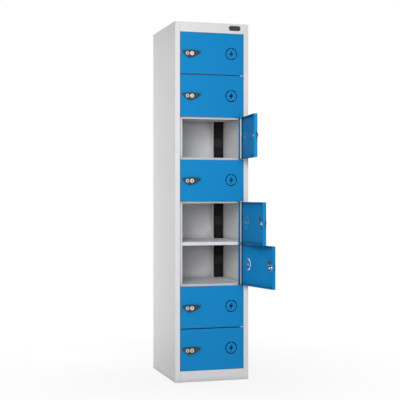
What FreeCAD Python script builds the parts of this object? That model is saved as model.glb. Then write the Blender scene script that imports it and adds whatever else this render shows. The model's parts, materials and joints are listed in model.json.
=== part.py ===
"""Charging locker: a welded steel cabinet with a column of rod-hinged doors on cam locks.

Lengths are in millimetres and +Z is up. The origin is on the floor under the middle of the
cabinet, the doors face -Y and their hinge line is on the +X side. Doors, shelves and locks are
numbered from the top. Three doors stand open.
"""

import FreeCAD
import Part
import Sketcher
import math
import operator
import os
import types

DOOR_COUNT = 8
SIGN_SLOTS = 3
SIGN_BRIDGE_DEGREES = 8
TOLERANCE = 1e-6

# Alias, value and meaning of each driving dimension.
DIMENSIONS = (
    ("cabinet_height", 1780, "floor to top"),
    ("cabinet_width", 380, "outside of one side panel to the other"),
    ("cabinet_depth", 450, "front of the stiles to the outside of the back panel"),
    ("sheet", 1, "thickness of the sheet steel"),
    ("bend_inside", 0.5, "inside radius of folded edges"),
    ("stile_width", 25, "front face of each side panel beside the doors"),
    ("stile_return", 21, "depth of the folds behind the stiles, the header and the plinth"),
    ("stop_width", 16, "strip behind the free edges that the doors close against"),
    ("header_height", 50, "front face above the doors"),
    ("plinth_height", 55, "front face below the doors, up to the floor of the cabinet"),
    ("edge_flange", 20, "folded edges of the top and the base"),
    ("rear_flange", 15, "folded rear edges of the side panels"),
    ("fixing_hole_radius", 4.5, "holes for floor and wall fixings"),
    ("floor_hole_inset", 55, "floor fixing holes from the front and from the back"),
    ("wall_hole_inset", 80, "wall fixing holes from the sides"),
    ("wall_hole_height", 160, "wall fixing holes from the floor and from the top"),
    ("shelf_lip", 17, "height of the folded edges of a shelf"),
    ("shelf_setback", 23, "shelf edge behind the front of the cabinet"),
    ("door_thickness", 18, "depth of a door pan"),
    ("door_gap", 4, "gap between two doors, one above the other"),
    ("hinge_gap", 2.5, "gap between the hinge edge of a door and the stile"),
    ("lock_gap", 2, "gap between the free edge of a door and the stile"),
    ("door_3_angle", 84, "opening angle of the third door"),
    ("door_5_angle", 92, "opening angle of the fifth door"),
    ("door_6_angle", 101, "opening angle of the sixth door"),
    ("sign_inset", 63, "middle of the charging sign from the hinge edge of a door"),
    ("sign_rise", 2.5, "middle of the sign above the middle of a door"),
    ("sign_radius", 28.2, "ring of the sign, to the middle of its line"),
    ("sign_line", 4.6, "width of that line"),
    ("bolt_width", 24, "lightning bolt in the ring, left to right"),
    ("bolt_height", 38, "that bolt from top to bottom"),
    ("bolt_notch_width", 4, "one notch of the bolt from the other, left to right"),
    ("bolt_notch_height", 7, "one notch of the bolt from the other, upwards"),
    ("pivot_inset", 9, "hinge line from the hinge edge of a door"),
    ("pivot_depth", 7.5, "hinge line behind the front of the doors"),
    ("rod_radius", 4, "hinge rod that all doors turn on"),
    ("rod_clearance", 0.05, "radial clearance of the holes for the hinge rod"),
    ("rod_head_radius", 6, "head that hangs the rod on the fold of the header"),
    ("rod_head_height", 3, "height of that head"),
    ("rod_tail", 10, "rod below the floor of the cabinet"),
    ("tab_radius", 7, "rounded end of a hinge bracket, half its width"),
    ("tab_thickness", 2, "plate of a hinge bracket"),
    ("washer_radius", 6.5, "nylon washer under each door"),
    ("washer_thickness", 0.8, "height of that washer"),
    ("lock_inset", 33.5, "lock axis from the free edge of a door"),
    ("lock_drop", 2, "lock axis below the middle of a door"),
    ("plate_inset", 6, "tip of the escutcheon, before rounding, from the free edge of a door"),
    ("plate_length", 101, "tip to tip of the escutcheon, before rounding"),
    ("plate_tip_rise", 10.5, "tips of the escutcheon above the lock axis"),
    ("plate_drop", 33, "lowest point of the escutcheon below its tips"),
    ("plate_lowest", 37, "lowest point of the escutcheon from its tip at the free edge"),
    ("plate_top_radius", 220, "bow of the upper edge of the escutcheon"),
    ("plate_side_radius", 130, "bow of the lower edges of the escutcheon"),
    ("plate_tip_radius", 4, "rounding of the two tips"),
    ("plate_corner_radius", 10, "rounding of the lowest corner"),
    ("plate_thickness", 6, "how far the escutcheon stands proud of the door"),
    ("plate_edge_radius", 1.5, "rounding of the front edge of the escutcheon"),
    ("disc_offset", 23.5, "number disc from the lock axis"),
    ("disc_radius", 10.5, "number disc"),
    ("disc_thickness", 1.6, "number disc, front to back"),
    ("disc_recess", 0.8, "seat of the number disc in the escutcheon"),
    ("disc_clearance", 0.1, "radial clearance of that seat"),
    ("barrel_radius", 8, "fixed barrel of a lock"),
    ("barrel_clearance", 0.1, "radial clearance of the holes and the clip on the barrel"),
    ("barrel_flange_radius", 8.8, "front flange of the barrel"),
    ("barrel_flange", 2, "thickness of that flange"),
    ("barrel_groove", 1, "depth of the groove in the barrel that the clip sits in"),
    ("clip_length", 28, "clip that holds the barrel behind the door, along the door"),
    ("clip_height", 32, "that clip from top to bottom"),
    ("clip_thickness", 2, "plate of that clip"),
    ("clip_corner_radius", 4, "rounding of the corners of that clip"),
    ("clip_slot_clearance", 1, "room above and below the clip in the slot that it is pushed in through"),
    ("clip_slot_rear", 7, "rear of that slot behind the front of the door"),
    ("core_radius", 6, "turning core of a lock"),
    ("core_head_radius", 7.5, "head of the core, sunk in the barrel flange"),
    ("core_head", 1.5, "thickness of that head"),
    ("core_clearance", 0.05, "radial and end clearance of the core in the barrel"),
    ("keyway_width", 2, "key slot across"),
    ("keyway_height", 9, "key slot along"),
    ("keyway_depth", 8, "key slot, front to back"),
    ("cam_depth", 11, "cam behind the front of the door, at the barrel"),
    ("cam_thickness", 2, "plate of the cam"),
    ("cam_width", 12, "cam across"),
    ("cam_length", 41, "tip of the cam from the lock axis"),
    ("cam_first_bend", 8, "first bend of the cranked cam from the lock axis"),
    ("cam_second_bend", 16, "second bend of the cam from the lock axis"),
    ("cam_corner_radius", 5, "rounding of the ends of the cam"),
    ("cam_play", 0.25, "gap between the barrel and the cam"),
    ("cam_stop_gap", 0.6, "gap between the stop strip and a locked cam behind it"),
    ("shank_width", 6, "square of the core that carries the cam"),
    ("shank_clearance", 0.1, "room for that square in the cam, on each side"),
    ("screw_radius", 2, "screw that holds the cam"),
    ("screw_length", 8, "length of that screw below its head"),
    ("screw_clearance", 0.1, "radial clearance of the screw in the core"),
    ("screw_head_radius", 4.8, "head of the cam screw"),
    ("screw_head", 2, "height of that head"),
    ("trunking_width", 53, "power trunking, left to right"),
    ("trunking_depth", 40, "power trunking with its cover, front to back"),
    ("trunking_wall", 1.5, "wall of the power trunking"),
    ("trunking_clearance", 1, "gap between the trunking and the shelves"),
    ("strip_thickness", 2, "cover of the trunking that carries the socket outlets"),
    ("outlet_width", 45, "bezel of a socket outlet"),
    ("outlet_corner", 5, "corner radius of that bezel"),
    ("outlet_proud", 2, "bezel in front of the cover"),
    ("outlet_body", 37, "body of a socket outlet behind the bezel"),
    ("outlet_body_depth", 20, "that body behind the front of the cover"),
    ("outlet_clearance", 0.5, "room for the body in the cover"),
    ("pin_spacing", 22.2, "earth slot from the other two, and these from each other"),
    ("pin_slot_width", 4.4, "pin slots across"),
    ("earth_slot_length", 8.6, "earth slot along"),
    ("line_slot_length", 6.8, "other two slots along"),
    ("pin_slot_depth", 4, "pin slots, down to their shutters"),
    ("conductor_radius", 2, "insulated conductor in the trunking"),
    ("conductor_spacing", 8, "one conductor to the next"),
    ("conductor_clearance", 0.3, "conductors behind the socket outlets"),
    ("conductor_tail", 25, "conductors below the middle of the lowest socket outlet"),
    ("inlet_flange_width", 46, "flange of the mains inlet, left to right"),
    ("inlet_flange_depth", 28, "flange of the mains inlet, front to back"),
    ("inlet_flange", 2.5, "thickness of that flange"),
    ("inlet_width", 30, "body of the mains inlet, left to right"),
    ("inlet_depth", 22, "body of the mains inlet, front to back"),
    ("inlet_height", 20, "that body below its flange"),
    ("inlet_wall", 2.5, "wall round the socket of the mains inlet"),
    ("inlet_floor", 4, "floor of that socket"),
    ("inlet_pin_length", 12, "contact pins of the mains inlet"),
    ("inlet_pin_width", 2, "contact pins, left to right"),
    ("inlet_pin_depth", 4, "contact pins, front to back"),
    ("inlet_pin_spacing", 7, "one contact pin to the next, left to right"),
    ("inlet_pin_offset", 2, "contact pins from the middle of the socket"),
)

# Alias of the opening angle of each door that stands open.
OPEN_DOORS = {3: "door_3_angle", 5: "door_5_angle", 6: "door_6_angle"}

OPERATIONS = {"+": operator.add, "-": operator.sub, "*": operator.mul, "/": operator.truediv}


class Size:
    """A number together with the spreadsheet expression that it comes from."""

    def __init__(self, value, text):
        self.value = value
        self.text = text

    def __add__(self, other):
        return combine(self, "+", other)

    def __radd__(self, other):
        return combine(other, "+", self)

    def __sub__(self, other):
        return combine(self, "-", other)

    def __rsub__(self, other):
        return combine(other, "-", self)

    def __mul__(self, other):
        return combine(self, "*", other)

    def __rmul__(self, other):
        return combine(other, "*", self)

    def __truediv__(self, other):
        return combine(self, "/", other)

    def __neg__(self):
        return combine(0, "-", self)


def as_size(number):
    return number if isinstance(number, Size) else Size(number, f"({number})")


def combine(left, sign, right):
    left = as_size(left)
    right = as_size(right)
    return Size(OPERATIONS[sign](left.value, right.value), f"({left.text} {sign} {right.text})")


def longest_side(one, other):
    """The longest side of a right-angled triangle."""
    squared = one * one + other * other
    return Size(math.sqrt(squared.value), f"sqrt({squared.text})")


def make_spreadsheet(document):
    """Put the driving dimensions in a spreadsheet and return them by alias."""
    sheet = document.addObject("Spreadsheet::Sheet", "Sizes")
    sizes = {}
    for row, (alias, value, meaning) in enumerate(DIMENSIONS, 1):
        sheet.set(f"A{row}", alias)
        sheet.set(f"B{row}", str(value))
        sheet.set(f"C{row}", meaning)
        sheet.setAlias(f"B{row}", alias)
        sizes[alias] = Size(value, f"Sizes.{alias}")
    document.recompute()
    return types.SimpleNamespace(**sizes)


doc = FreeCAD.newDocument("ChargingLocker")
size = make_spreadsheet(doc)
nodes = []

# Planes and lines that several pieces share.
half_width = size.cabinet_width / 2
inside = half_width - size.sheet
stile_edge = half_width - size.stile_width
front = -size.cabinet_depth / 2
back = size.cabinet_depth / 2
fold_back = front + size.stile_return
bend_outside = size.bend_inside + size.sheet
header_bottom = size.cabinet_height - size.header_height
top_underside = size.cabinet_height - size.sheet
rear_inside = back - 2 * size.sheet

# Doors: each one fills its pitch between two boundaries, apart from the gap.
lowest_boundary = size.plinth_height - size.tab_thickness / 2
highest_boundary = header_bottom + size.tab_thickness / 2
pitch = (highest_boundary - lowest_boundary) / DOOR_COUNT
door_width = 2 * stile_edge - size.hinge_gap - size.lock_gap
door_height = pitch - size.door_gap
pivot_x = stile_edge - size.hinge_gap - size.pivot_inset
pivot_y = front + size.pivot_depth
rod_hole_radius = size.rod_radius + size.rod_clearance

# Places on a door, measured from the hinge line and from the lower edge of the door.
door_front = -size.pivot_depth
door_rear = size.door_thickness - size.pivot_depth
free_edge = size.pivot_inset - door_width
lock_x = free_edge + size.lock_inset
lock_z = door_height / 2 - size.lock_drop
skin_rear = door_front + size.sheet
plate_front = door_front - size.plate_thickness
barrel_front = plate_front - size.barrel_flange
barrel_hole_radius = size.barrel_radius + size.barrel_clearance
groove_radius = size.barrel_radius - size.barrel_groove
clip_rear = skin_rear + size.clip_thickness
cam_front = door_front + size.cam_depth
cam_rear = cam_front + size.cam_thickness
cam_tip_front = door_front + size.stile_return + size.cam_stop_gap
cam_tip_rear = cam_tip_front + size.cam_thickness
screw_hole_radius = size.screw_radius + size.screw_clearance

# Power trunking in the rear corner on the hinge side.
trunking_right = half_width - 2 * size.sheet
trunking_left = trunking_right - size.trunking_width
trunking_front = rear_inside - size.trunking_depth
trunking_middle = trunking_right - size.trunking_width / 2
strip_rear = trunking_front + size.strip_thickness
outlet_rear = trunking_front + size.outlet_body_depth
conductor_y = outlet_rear + size.conductor_clearance + size.conductor_radius
inlet_y = (strip_rear + rear_inside - size.trunking_wall) / 2
inlet_bottom = top_underside - size.inlet_flange - size.inlet_height


def boundary(number):
    """Height of the plane between a door and the one below it."""
    return lowest_boundary + (DOOR_COUNT - number) * pitch


def bind(item, name, distance):
    item.setExpression(name, as_size(distance).text)


def new_body(name):
    return doc.addObject("PartDesign::Body", name)


def node(item, name):
    """Name a finished piece and list it for export."""
    item.Label = name
    nodes.append(item)


def origin_feature(body, role):
    return next(feature for feature in body.Origin.OriginFeatures if feature.Role == role)


def sketch_on(body, name, role, shift=(0, 0, 0)):
    """Start a sketch on an origin plane of a body, shifted along the sketch's own axes."""
    sketch = body.newObject("Sketcher::SketchObject", name)
    sketch.AttachmentSupport = [(origin_feature(body, role), "")]
    sketch.MapMode = "FlatFace"
    for axis, distance in zip("xyz", shift):
        bind(sketch, f"AttachmentOffset.Base.{axis}", distance)
    return sketch


def flat_point(place):
    return FreeCAD.Vector(as_size(place[0]).value, as_size(place[1]).value, 0)


def pin(sketch, geometry, vertex, place):
    """Fix a vertex of a sketch by its two distances from the sketch's origin."""
    for kind, distance in zip(("DistanceX", "DistanceY"), place):
        value = as_size(distance).value
        index = sketch.addConstraint(Sketcher.Constraint(kind, -1, 1, geometry, vertex, value))
        bind(sketch, f"Constraints[{index}]", distance)


def fix_radius(sketch, geometry, radius):
    index = sketch.addConstraint(Sketcher.Constraint("Radius", geometry, as_size(radius).value))
    bind(sketch, f"Constraints[{index}]", radius)


def convex_arc(start, end, radius):
    """The arc from start to end that a counter-clockwise outline bulges out by."""
    chord = end - start
    reach = math.sqrt(radius ** 2 - (chord.Length / 2) ** 2)
    leftwards = FreeCAD.Vector(-chord.y, chord.x, 0).normalize()
    centre = (start + end) / 2 + leftwards * reach
    angles = [math.atan2(point.y - centre.y, point.x - centre.x) for point in (start, end)]
    return Part.ArcOfCircle(Part.Circle(centre, FreeCAD.Vector(0, 0, 1), radius), *angles)


def outline(sketch, corners):
    """Draw a closed outline whose corners are fixed by sizes.

    A corner is (x, y), or (x, y, radius) where an arc leads on to the next corner. An outline
    with arcs runs counter-clockwise, and an arc with a negative radius bulges inwards.
    """
    first = sketch.GeometryCount
    vertices = []
    for corner, following in zip(corners, corners[1:] + corners[:1]):
        start = flat_point(corner)
        end = flat_point(following)
        radius = as_size(corner[2]).value if len(corner) > 2 else 0
        if radius == 0:
            sketch.addGeometry(Part.LineSegment(start, end))
        elif radius > 0:
            sketch.addGeometry(convex_arc(start, end, radius))
        else:
            sketch.addGeometry(convex_arc(end, start, -radius))
        vertices.append((1, 2) if radius >= 0 else (2, 1))
    for index, corner in enumerate(corners):
        current = first + index
        following = (index + 1) % len(corners)
        start_vertex, end_vertex = vertices[index]
        sketch.addConstraint(Sketcher.Constraint(
            "Coincident", current, end_vertex, first + following, vertices[following][0]))
        pin(sketch, current, start_vertex, corner[:2])
        if len(corner) > 2:
            fix_radius(sketch, current, corner[2] if start_vertex == 1 else -corner[2])


def rectangle(sketch, low, high):
    outline(sketch, [(low[0], low[1]), (high[0], low[1]), (high[0], high[1]), (low[0], high[1])])


def rounded_square(sketch, centre, width, radius):
    """Draw a square with rounded corners."""
    x, y = centre
    far = width / 2
    near = far - radius
    outline(sketch, [
        (x - near, y - far), (x + near, y - far, radius),
        (x + far, y - near), (x + far, y + near, radius),
        (x + near, y + far), (x - near, y + far, radius),
        (x - far, y + near), (x - far, y - near, radius),
    ])


def ring_slot(sketch, centre, radius, width, start, end):
    """Draw a slot along a ring, from one angle to another."""
    def on_ring(distance, angle):
        return centre[0] + distance * math.cos(angle), centre[1] + distance * math.sin(angle)

    outer = radius + width / 2
    inner = radius - width / 2
    outline(sketch, [
        (*on_ring(outer, start), outer), on_ring(outer, end),
        (*on_ring(inner, end), -inner), on_ring(inner, start)])


def circle(sketch, centre, radius):
    shape = Part.Circle(flat_point(centre), FreeCAD.Vector(0, 0, 1), as_size(radius).value)
    geometry = sketch.addGeometry(shape)
    pin(sketch, geometry, 3, centre)
    fix_radius(sketch, geometry, radius)


def pad(body, sketch, length, reverse=False, symmetric=False):
    feature = body.newObject("PartDesign::Pad", f"{sketch.Name}Pad")
    feature.Profile = sketch
    feature.Reversed = reverse
    feature.SideType = "Symmetric" if symmetric else "One side"
    bind(feature, "Length", length)
    doc.recompute()
    return feature


def pocket(body, sketch, depth, reverse=False):
    """Cut a sketch into a body and make sure that the cut reached it."""
    volume = body.Shape.Volume
    feature = body.newObject("PartDesign::Pocket", f"{sketch.Name}Pocket")
    feature.Profile = sketch
    feature.Reversed = reverse
    bind(feature, "Length", depth)
    doc.recompute()
    if body.Shape.Volume > volume - TOLERANCE:
        raise RuntimeError(f"{feature.Name} of {body.Name} cuts nothing")
    return feature


def turn(body, sketch):
    """Revolve a profile about the vertical axis of its sketch."""
    feature = body.newObject("PartDesign::Revolution", f"{sketch.Name}Turn")
    feature.Profile = sketch
    feature.ReferenceAxis = (sketch, ["V_Axis"])
    feature.Angle = 360
    doc.recompute()
    return feature


def edges_at(feature, **place):
    """Name the edges of a feature whose ends all have the given coordinates."""
    def lies_there(vertex):
        return all(abs(getattr(vertex, axis.upper()) - as_size(distance).value) < TOLERANCE
                   for axis, distance in place.items())

    return [f"Edge{index}" for index, edge in enumerate(feature.Shape.Edges, 1)
            if all(lies_there(vertex) for vertex in edge.Vertexes)]


def round_edges(body, feature, radius, names):
    fillet = body.newObject("PartDesign::Fillet", f"{body.Name}Rounding")
    fillet.Base = (feature, names)
    bind(fillet, "Radius", radius)
    doc.recompute()
    return fillet


def shell(body, feature, *open_planes):
    """Hollow a feature to sheet thickness, open at its faces in planes given as axis and distance."""
    names = []
    for index, face in enumerate(feature.Shape.Faces, 1):
        for axis, distance in open_planes:
            low = getattr(face.BoundBox, f"{axis}Min")
            high = getattr(face.BoundBox, f"{axis}Max")
            place_there = as_size(distance).value
            if max(abs(low - place_there), abs(high - place_there)) < TOLERANCE:
                names.append(f"Face{index}")
    hollow = body.newObject("PartDesign::Thickness", f"{body.Name}Shell")
    hollow.Base = (feature, names)
    hollow.Reversed = True
    bind(hollow, "Value", size.sheet)
    doc.recompute()
    return hollow


def repeat_upwards(body, features, count):
    """Repeat features of a body up the cabinet, one door pitch apart."""
    pattern = body.newObject("PartDesign::LinearPattern", f"{body.Name}Column")
    pattern.Originals = features
    pattern.Direction = (origin_feature(body, "Z_Axis"), [""])
    pattern.Mode = "Spacing"
    pattern.Occurrences = count
    bind(pattern, "Offset", pitch)
    body.Tip = pattern
    doc.recompute()


def place(item, x, y, z):
    for axis, distance in zip("xyz", (x, y, z)):
        bind(item, f"Placement.Base.{axis}", distance)


def hang(item, number):
    """Put a piece that is drawn from the hinge line on its door."""
    place(item, pivot_x, pivot_y, boundary(number) + size.door_gap / 2)
    if number in OPEN_DOORS:
        bind(item, "Placement.Rotation.Angle", getattr(size, OPEN_DOORS[number]))


def pair(name, *bodies):
    """Join pieces that stay together, each a solid of its own, in one node."""
    group = doc.addObject("Part::Compound", name)
    group.Links = bodies
    node(group, name)
    return group


def side_panel(name, hand):
    """A side panel folded round to a stile in front and to a flange at the back.

    A plate behind the stile closes it to a box. The hand is -1 on the lock side, which has the
    strip that the doors close against and the locked cams reach behind, and 1 on the hinge side.
    """
    body = new_body(name)

    def mirrored(*corners):
        return [(hand * x, y) for x, y in corners]

    section = sketch_on(body, "Section", "XY_Plane")
    fold_inside = stile_edge + size.sheet
    outline(section, mirrored(
        (half_width, front), (half_width, back - size.sheet),
        (inside, back - size.sheet), (inside, front + size.sheet),
        (fold_inside, front + size.sheet), (fold_inside, fold_back),
        (stile_edge, fold_back), (stile_edge, front)))
    wall = pad(body, section, size.cabinet_height)
    outer_bends = (edges_at(wall, x=hand * half_width, y=front)
                   + edges_at(wall, x=hand * stile_edge, y=front))
    rounded = round_edges(body, wall, bend_outside, outer_bends)
    inner_bends = (edges_at(rounded, x=hand * inside, y=front + size.sheet)
                   + edges_at(rounded, x=hand * fold_inside, y=front + size.sheet))
    round_edges(body, rounded, size.bend_inside, inner_bends)

    closing = sketch_on(body, "StileBack", "XY_Plane")
    rectangle(closing, *mirrored((inside, fold_back - size.sheet), (fold_inside, fold_back)))
    pad(body, closing, top_underside)

    rear = sketch_on(body, "RearFlange", "XY_Plane", (0, 0, size.plinth_height))
    rectangle(rear, *mirrored((inside, rear_inside), (half_width - size.rear_flange, back - size.sheet)))
    pad(body, rear, size.cabinet_height - size.edge_flange - size.plinth_height)

    foot = sketch_on(body, "FootFlange", "XY_Plane")
    rectangle(foot, *mirrored((inside, fold_back), (stile_edge, rear_inside)))
    hole_x = hand * (half_width - size.stile_width / 2)
    circle(foot, (hole_x, front + size.floor_hole_inset), size.fixing_hole_radius)
    circle(foot, (hole_x, back - size.floor_hole_inset), size.fixing_hole_radius)
    pad(body, foot, size.sheet)

    if hand < 0:
        stop = sketch_on(body, "DoorStop", "XY_Plane", (0, 0, size.plinth_height))
        rectangle(stop, *mirrored((stile_edge, fold_back - size.sheet),
                                  (stile_edge - size.stop_width, fold_back)))
        pad(body, stop, header_bottom - size.plinth_height)
    node(body, name)


def sheet_tray(body, low_z, high_z):
    """Fold a tray that fits between the side panels, behind the stiles, open below and in front."""
    sheet = sketch_on(body, "Tray", "XY_Plane", (0, 0, low_z))
    rectangle(sheet, (-inside, fold_back), (inside, back - size.sheet))
    shell(body, pad(body, sheet, high_z - low_z), ("Z", low_z), ("Y", fold_back))


def front_fold(body, profile):
    """Fold the front of the top or of the base between the stiles."""
    section = sketch_on(body, "Front", "YZ_Plane")
    outline(section, profile)
    return pad(body, section, 2 * stile_edge, symmetric=True)


def top_panel():
    """The roof with its flanges, the header in front and the cut-out for the mains inlet."""
    body = new_body("top_panel")
    sheet_tray(body, size.cabinet_height - size.edge_flange, size.cabinet_height)
    header = front_fold(body, [
        (fold_back, size.cabinet_height), (front, size.cabinet_height),
        (front, header_bottom), (fold_back, header_bottom),
        (fold_back, header_bottom + size.sheet), (front + size.sheet, header_bottom + size.sheet),
        (front + size.sheet, top_underside), (fold_back, top_underside)])
    bends = (edges_at(header, y=front, z=size.cabinet_height)
             + edges_at(header, y=front, z=header_bottom))
    round_edges(body, header, bend_outside, bends)

    corners = sketch_on(body, "StileCover", "XY_Plane", (0, 0, top_underside))
    for hand in (-1, 1):
        rectangle(corners, (hand * (stile_edge + size.sheet), front + bend_outside),
                  (hand * inside, fold_back))
    pad(body, corners, size.sheet)

    rod_hole = sketch_on(body, "RodHole", "XY_Plane", (0, 0, header_bottom))
    circle(rod_hole, (pivot_x, pivot_y), rod_hole_radius)
    pocket(body, rod_hole, size.sheet, reverse=True)

    cut_out = sketch_on(body, "InletCutOut", "XY_Plane", (0, 0, size.cabinet_height))
    inlet_socket(cut_out)
    pocket(body, cut_out, size.sheet)
    node(body, "top_panel")


def base_panel():
    """The floor with its flanges and the plinth in front."""
    body = new_body("base_panel")
    sheet_tray(body, size.plinth_height - size.edge_flange, size.plinth_height)
    floor_underside = size.plinth_height - size.sheet
    plinth = front_fold(body, [
        (fold_back, size.plinth_height), (front, size.plinth_height),
        (front, 0), (fold_back, 0), (fold_back, size.sheet), (front + size.sheet, size.sheet),
        (front + size.sheet, floor_underside), (fold_back, floor_underside)])
    round_edges(body, plinth, bend_outside, edges_at(plinth, y=front, z=size.plinth_height))

    rod_hole = sketch_on(body, "RodHole", "XY_Plane", (0, 0, size.plinth_height))
    circle(rod_hole, (pivot_x, pivot_y), rod_hole_radius)
    pocket(body, rod_hole, size.sheet)
    node(body, "base_panel")


def back_panel():
    """The flat back with its four wall fixing holes."""
    body = new_body("back_panel")
    face = sketch_on(body, "Face", "XZ_Plane", (0, 0, -back))
    rectangle(face, (-half_width, 0), (half_width, size.cabinet_height))
    for x in (size.wall_hole_inset - half_width, half_width - size.wall_hole_inset):
        for z in (size.wall_hole_height, size.cabinet_height - size.wall_hole_height):
            circle(face, (x, z), size.fixing_hole_radius)
    pad(body, face, size.sheet)
    node(body, "back_panel")


def shelf(number):
    """A shelf below a door, notched round the power trunking, with folds in front and at both sides."""
    body = new_body(f"shelf_{number}")
    tray = sketch_on(body, "Tray", "XY_Plane")
    shelf_front = front + size.shelf_setback
    notch_left = trunking_left - size.trunking_clearance
    notch_front = trunking_front - size.trunking_clearance
    outline(tray, [
        (-inside, shelf_front), (inside, shelf_front), (inside, notch_front),
        (notch_left, notch_front), (notch_left, rear_inside), (-inside, rear_inside)])
    solid = pad(body, tray, size.shelf_lip)
    hollow = shell(body, solid, ("Z", 0), ("X", notch_left), ("Y", notch_front), ("Y", rear_inside))
    round_edges(body, hollow, bend_outside, edges_at(hollow, y=shelf_front, z=size.shelf_lip))
    place(body, 0, 0, boundary(number) - size.shelf_lip / 2)
    node(body, f"shelf_{number}")


def hinge_rod():
    """The rod through all doors, hung by its head on the fold of the header."""
    body = new_body("hinge_rod")
    profile = sketch_on(body, "Profile", "XZ_Plane")
    head_bottom = header_bottom + size.sheet
    tail = size.plinth_height - size.rod_tail
    outline(profile, [
        (0, tail), (size.rod_radius, tail), (size.rod_radius, head_bottom),
        (size.rod_head_radius, head_bottom), (size.rod_head_radius, head_bottom + size.rod_head_height),
        (0, head_bottom + size.rod_head_height)])
    turn(body, profile)
    place(body, pivot_x, pivot_y, 0)
    node(body, "hinge_rod")


def hinge_brackets():
    """The tabs on the stile that guide the rod between the doors."""
    body = new_body("hinge_brackets")
    tab = sketch_on(body, "Tab", "XY_Plane")
    radius = size.tab_radius
    root = stile_edge - pivot_x
    outline(tab, [(root, radius), (0, radius, radius), (-radius, 0, radius), (0, -radius), (root, -radius)])
    circle(tab, (0, 0), rod_hole_radius)
    repeat_upwards(body, [pad(body, tab, size.tab_thickness)], DOOR_COUNT - 1)
    place(body, pivot_x, pivot_y, boundary(DOOR_COUNT - 1) - size.tab_thickness / 2)
    node(body, "hinge_brackets")


def hinge_washers():
    """A washer under each door, on the bracket or on the floor of the cabinet."""
    body = new_body("hinge_washers")
    ring = sketch_on(body, "Ring", "XY_Plane")
    circle(ring, (0, 0), size.washer_radius)
    circle(ring, (0, 0), rod_hole_radius)
    repeat_upwards(body, [pad(body, ring, size.washer_thickness)], DOOR_COUNT)
    place(body, pivot_x, pivot_y, boundary(DOOR_COUNT) + size.tab_thickness / 2)
    node(body, "hinge_washers")


def power_trunking():
    """The channel in the rear corner, from the floor of the cabinet to its roof."""
    body = new_body("power_trunking")
    section = sketch_on(body, "Section", "XY_Plane", (0, 0, size.plinth_height))
    wall = size.trunking_wall
    outline(section, [
        (trunking_left, strip_rear), (trunking_left + wall, strip_rear),
        (trunking_left + wall, rear_inside - wall), (trunking_right - wall, rear_inside - wall),
        (trunking_right - wall, strip_rear), (trunking_right, strip_rear),
        (trunking_right, rear_inside), (trunking_left, rear_inside)])
    pad(body, section, top_underside - size.plinth_height)
    node(body, "power_trunking")


def socket_strip():
    """The cover of the trunking with a cut-out for each socket outlet."""
    body = new_body("socket_strip")
    section = sketch_on(body, "Section", "XY_Plane", (0, 0, size.plinth_height))
    rectangle(section, (trunking_left, trunking_front), (trunking_right, strip_rear))
    pad(body, section, top_underside - size.plinth_height)
    window = sketch_on(body, "Window", "XZ_Plane", (0, 0, -trunking_front))
    half = size.outlet_body / 2 + size.outlet_clearance
    middle_z = boundary(DOOR_COUNT) + pitch / 2
    rectangle(window, (trunking_middle - half, middle_z - half), (trunking_middle + half, middle_z + half))
    repeat_upwards(body, [pocket(body, window, size.strip_thickness)], DOOR_COUNT)
    node(body, "socket_strip")


def socket_outlets():
    """A three-pin outlet for each compartment, turned so that its earth slot is on the right."""
    body = new_body("socket_outlets")
    middle_z = boundary(DOOR_COUNT) + pitch / 2
    bezel = sketch_on(body, "Bezel", "XZ_Plane", (0, 0, -trunking_front))
    rounded_square(bezel, (trunking_middle, middle_z), size.outlet_width, size.outlet_corner)
    bezel_pad = pad(body, bezel, size.outlet_proud)

    rear = sketch_on(body, "Body", "XZ_Plane", (0, 0, -trunking_front))
    rounded_square(rear, (trunking_middle, middle_z), size.outlet_body, size.outlet_corner)
    rear_pad = pad(body, rear, size.outlet_body_depth, reverse=True)

    slots = sketch_on(body, "PinSlots", "XZ_Plane", (0, 0, size.outlet_proud - trunking_front))

    def pin_slot(x, z, length, width):
        rectangle(slots, (x - length / 2, z - width / 2), (x + length / 2, z + width / 2))

    earth_x = trunking_middle + size.pin_spacing / 2
    line_x = trunking_middle - size.pin_spacing / 2
    pin_slot(earth_x, middle_z, size.earth_slot_length, size.pin_slot_width)
    pin_slot(line_x, middle_z - size.pin_spacing / 2, size.pin_slot_width, size.line_slot_length)
    pin_slot(line_x, middle_z + size.pin_spacing / 2, size.pin_slot_width, size.line_slot_length)
    slot_pocket = pocket(body, slots, size.pin_slot_depth)
    repeat_upwards(body, [bezel_pad, rear_pad, slot_pocket], DOOR_COUNT)
    node(body, "socket_outlets")


def wiring_loom():
    """The three conductors that run from the mains inlet down behind the outlets."""
    body = new_body("wiring_loom")
    bottom = boundary(DOOR_COUNT) + pitch / 2 - size.conductor_tail
    section = sketch_on(body, "Section", "XY_Plane", (0, 0, bottom))
    for place_in_row in (-1, 0, 1):
        x = trunking_middle + place_in_row * size.conductor_spacing
        circle(section, (x, conductor_y), size.conductor_radius)
    pad(body, section, inlet_bottom - bottom)
    node(body, "wiring_loom")


def inlet_socket(sketch):
    """Draw the opening of the mains inlet, with its two bevelled corners."""
    across = size.inlet_width / 2 - size.inlet_wall
    along = size.inlet_depth / 2 - size.inlet_wall
    bevel = along / 2
    left = trunking_middle - across
    right = trunking_middle + across
    near = inlet_y - along
    far = inlet_y + along
    outline(sketch, [
        (left, near), (right, near), (right, far - bevel),
        (right - bevel, far), (left + bevel, far), (left, far - bevel)])


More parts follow.
